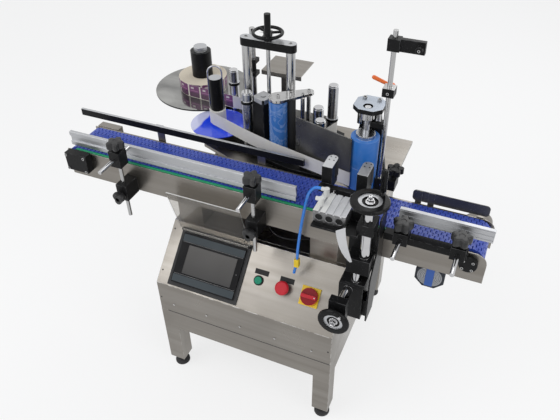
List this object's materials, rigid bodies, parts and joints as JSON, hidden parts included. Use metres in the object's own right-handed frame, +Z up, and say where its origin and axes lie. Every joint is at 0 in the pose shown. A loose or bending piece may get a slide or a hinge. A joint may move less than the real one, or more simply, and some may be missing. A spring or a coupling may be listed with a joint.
{
  "type": "round container labeling machine",
  "caption": "Small floor-standing machine that carries round containers on a belt, presses them against a wrap roller and winds a label round each",
  "frame": {"origin": "On the floor, below the middle of the outline of the whole machine.", "axes": "+X runs along the conveyor towards its driven end, +Y from the console to the back, +Z up."},
  "size_m": [1.231, 0.8133, 1.167],
  "materials": {
    "stainless": "brushed stainless sheet",
    "steel": "bright ground steel",
    "chrome": "polished",
    "aluminium": "clear anodised",
    "black_alu": "black anodised",
    "black_paint": "satin black",
    "dark_alu": "dark grey anodised",
    "black_plastic": "moulded",
    "green_plastic": "sliding strip",
    "blue_belt": "moulded belt modules",
    "blue_rubber": "smooth, blue",
    "blue_disc": "clear disc under blue film",
    "black_disc": "mirror finish",
    "smoke_plastic": "smoked, clear",
    "green_button": "moulded",
    "red_button": "moulded",
    "yellow_fittings": "moulded",
    "orange_plastic": "moulded",
    "paper": "label stock",
    "black_rubber": "matt",
    "blue_tube": "air tube"
  },
  "bodies": {
    "machine": {"leg_frame": "stainless", "leveling_feet": "black_rubber", "cabinet_panels": "stainless", "console_cover": "stainless", "hmi_panel": "black_plastic", "panel_fittings": "yellow_fittings", "conveyor_plates": "stainless", "belt_supports": "green_plastic", "belt": "blue_belt", "conveyor_drive": "black_paint", "pedestals": "stainless", "rail_clamps": "black_alu", "rear_guides": "black_alu", "press_bracket": "black_alu", "lift_frame": "steel", "wrap_support": "black_alu", "sensor_mast": "steel", "sensor_cable": "black_rubber"},
    "head": {"head_base": "black_alu", "head_posts": "steel", "label_web": "paper", "peel_plate": "dark_alu"},
    "head_screw": {"head_wheel": "black_paint"},
    "supply": {"unwinder": "black_disc", "label_roll": "paper"},
    "waste": {"rewinder": "blue_disc"},
    "cover": {"flip_cover": "smoke_plastic"},
    "start": {"start_button": "green_button"},
    "stop": {"stop_button": "red_button"},
    "isolator": {"isolator_knob": "red_button"},
    "drive": {"drive_shaft": "steel"},
    "tail": {"tail_shaft": "steel"},
    "left_posts": {"left_rail_posts": "black_alu"},
    "left_guide": {"left_rail": "aluminium"},
    "right_guide": {"right_rail": "aluminium"},
    "cross": {"cross_carriage": "black_alu"},
    "lift": {"lift_block": "black_alu", "press_cylinder": "aluminium", "air_tube": "blue_tube"},
    "press": {"press_carriage": "black_alu"},
    "lift_screw": {"height_wheel": "black_plastic"},
    "depth_screw": {"depth_wheel": "black_plastic"},
    "traction": {"traction_roller": "blue_rubber"},
    "pinch": {"pinch_roller": "black_rubber"},
    "wrap": {"wrap_roller": "blue_rubber"},
    "lever": {"clamp_lever": "orange_plastic"},
    "eye_arm": {"sensor_arm": "black_alu"},
    "knob_1": {"star_knob_1": "black_plastic"},
    "knob_2": {"star_knob_2": "black_plastic"},
    "knob_3": {"star_knob_3": "black_plastic"},
    "knob_4": {"star_knob_4": "black_plastic"},
    "low_knob_1": {"post_knob_1": "black_plastic"},
    "low_knob_2": {"post_knob_2": "black_plastic"},
    "nip_1": {"nip_roller_1": "black_rubber"},
    "nip_2": {"nip_roller_2": "black_rubber"},
    "guide_1": {"guide_roller_1": "aluminium"},
    "guide_2": {"guide_roller_2": "aluminium"},
    "guide_3": {"guide_roller_3": "aluminium"},
    "guide_4": {"guide_roller_4": "aluminium"},
    "guide_5": {"guide_roller_5": "aluminium"}
  },
  "joints": [
    {"name": "cover_hinge", "type": "hinge", "parent": "machine", "child": "cover", "pos_m": [-0.1195, -0.19163, 0.52398], "axis": [1, 0, 0], "range_deg": [0, 118]},
    {"name": "start_press", "type": "slide", "parent": "machine", "child": "start", "axis": [0, 0.6968, -0.7173], "range_m": [0, 0.003], "stiffness_N_per_m": 400},
    {"name": "stop_press", "type": "slide", "parent": "machine", "child": "stop", "axis": [0, 0.6968, -0.7173], "range_m": [0, 0.004], "stiffness_N_per_m": 600},
    {"name": "isolator_turn", "type": "hinge", "parent": "machine", "child": "isolator", "pos_m": [0.1955, -0.24874, 0.46293], "axis": [0, 0.6968, -0.7173], "range_deg": [0, 90]},
    {"name": "belt_drive", "type": "hinge", "parent": "machine", "child": "drive", "pos_m": [0.5745, -0.1404, 0.6995], "axis": [0, 1, 0], "continuous": true},
    {"name": "belt_tail", "type": "hinge", "parent": "machine", "child": "tail", "pos_m": [-0.552, -0.1404, 0.6995], "axis": [0, 1, 0], "continuous": true},
    {"name": "left_rail_lift", "type": "slide", "parent": "machine", "child": "left_posts", "axis": [0, 0, 1], "range_m": [-0.003, 0.03]},
    {"name": "left_rail_reach", "type": "slide", "parent": "left_posts", "child": "left_guide", "axis": [0, 1, 0], "range_m": [-0.02, 0.05]},
    {"name": "right_rail_reach", "type": "slide", "parent": "machine", "child": "right_guide", "axis": [0, 1, 0], "range_m": [-0.01, 0.05]},
    {"name": "rail_knob_1_turn", "type": "hinge", "parent": "left_posts", "child": "knob_1", "pos_m": [-0.3665, -0.2454, 0.812], "axis": [0, 0, 1], "range_deg": [-180, 180]},
    {"name": "rail_knob_2_turn", "type": "hinge", "parent": "left_posts", "child": "knob_2", "pos_m": [0.0355, -0.2454, 0.812], "axis": [0, 0, 1], "range_deg": [-180, 180]},
    {"name": "rail_knob_3_turn", "type": "hinge", "parent": "machine", "child": "knob_3", "pos_m": [0.4175, -0.2454, 0.788], "axis": [0, 0, 1], "range_deg": [-180, 180]},
    {"name": "rail_knob_4_turn", "type": "hinge", "parent": "machine", "child": "knob_4", "pos_m": [0.5485, -0.2454, 0.788], "axis": [0, 0, 1], "range_deg": [-180, 180]},
    {"name": "post_knob_1_turn", "type": "hinge", "parent": "machine", "child": "low_knob_1", "pos_m": [-0.3665, -0.2714, 0.658], "axis": [0, 1, 0], "range_deg": [-180, 180]},
    {"name": "post_knob_2_turn", "type": "hinge", "parent": "machine", "child": "low_knob_2", "pos_m": [0.0355, -0.2714, 0.658], "axis": [0, 1, 0], "range_deg": [-180, 180]},
    {"name": "depth_turn", "type": "hinge", "parent": "machine", "child": "depth_screw", "pos_m": [0.3105, -0.3874, 0.567], "axis": [0, 1, 0], "range_deg": [-2881, 1441]},
    {"name": "press_depth", "type": "slide", "parent": "machine", "child": "cross", "axis": [0, 1, 0], "range_m": [-0.02, 0.01]},
    {"name": "height_turn", "type": "hinge", "parent": "cross", "child": "lift_screw", "pos_m": [0.3455, -0.2874, 0.87], "axis": [0, 0, -1], "range_deg": [-1, 4321]},
    {"name": "press_lift", "type": "slide", "parent": "cross", "child": "lift", "axis": [0, 0, 1], "range_m": [0, 0.03]},
    {"name": "press_stroke", "type": "slide", "parent": "lift", "child": "press", "axis": [0, 1, 0], "range_m": [0, 0.03]},
    {"name": "nip_1_turn", "type": "hinge", "parent": "press", "child": "nip_1", "pos_m": [0.2095, -0.1444, 0.83], "axis": [0, 0, 1], "continuous": true},
    {"name": "nip_2_turn", "type": "hinge", "parent": "press", "child": "nip_2", "pos_m": [0.2975, -0.1404, 0.83], "axis": [0, 0, 1], "continuous": true},
    {"name": "head_turn", "type": "hinge", "parent": "machine", "child": "head_screw", "pos_m": [-0.0435, 0.0426, 1.06], "axis": [0, 0, -1], "range_deg": [-1, 5761]},
    {"name": "head_lift", "type": "slide", "parent": "machine", "child": "head", "axis": [0, 0, 1], "range_m": [0, 0.08]},
    {"name": "supply_turn", "type": "hinge", "parent": "head", "child": "supply", "pos_m": [-0.3765, 0.2476, 0.77], "axis": [0, 0, 1], "continuous": true},
    {"name": "waste_turn", "type": "hinge", "parent": "head", "child": "waste", "pos_m": [-0.2275, 0.0686, 0.77], "axis": [0, 0, 1], "continuous": true},
    {"name": "guide_1_turn", "type": "hinge", "parent": "head", "child": "guide_1", "pos_m": [-0.2205, 0.1706, 0.8], "axis": [0, 0, 1], "continuous": true},
    {"name": "guide_2_turn", "type": "hinge", "parent": "head", "child": "guide_2", "pos_m": [-0.0965, 0.0086, 0.8], "axis": [0, 0, 1], "continuous": true},
    {"name": "guide_3_turn", "type": "hinge", "parent": "head", "child": "guide_3", "pos_m": [0.1085, 0.0236, 0.8], "axis": [0, 0, 1], "continuous": true},
    {"name": "guide_4_turn", "type": "hinge", "parent": "head", "child": "guide_4", "pos_m": [0.1355, -0.0364, 0.8], "axis": [0, 0, 1], "continuous": true},
    {"name": "guide_5_turn", "type": "hinge", "parent": "head", "child": "guide_5", "pos_m": [0.1115, 0.1346, 0.8], "axis": [0, 0, 1], "continuous": true},
    {"name": "traction_turn", "type": "hinge", "parent": "head", "child": "traction", "pos_m": [0.0075, -0.0144, 0.826], "axis": [0, 0, 1], "continuous": true},
    {"name": "pinch_turn", "type": "hinge", "parent": "head", "child": "pinch", "pos_m": [0.0355, 0.0106, 0.826], "axis": [0, 0, 1], "continuous": true},
    {"name": "wrap_turn", "type": "hinge", "parent": "machine", "child": "wrap", "pos_m": [0.2635, -0.0594, 0.812], "axis": [0, 0, 1], "continuous": true},
    {"name": "lever_turn", "type": "hinge", "parent": "machine", "child": "lever", "pos_m": [0.3105, -0.0374, 1.02], "axis": [0, 1, 0], "range_deg": [-60, 60]},
    {"name": "eye_arm_turn", "type": "hinge", "parent": "machine", "child": "eye_arm", "pos_m": [0.3105, -0.0614, 1.135], "axis": [0, 0, 1], "range_deg": [-75, 75]}
  ],
  "couplings": [
    {"joint": "belt_tail", "follows": "belt_drive", "ratio": 1},
    {"joint": "depth_turn", "follows": "press_depth", "rad_per_m": 2513.3},
    {"joint": "height_turn", "follows": "press_lift", "rad_per_m": 2513.3},
    {"joint": "head_turn", "follows": "head_lift", "rad_per_m": 1256.6},
    {"joint": "pinch_turn", "follows": "traction_turn", "ratio": -2.0833}
  ]
}
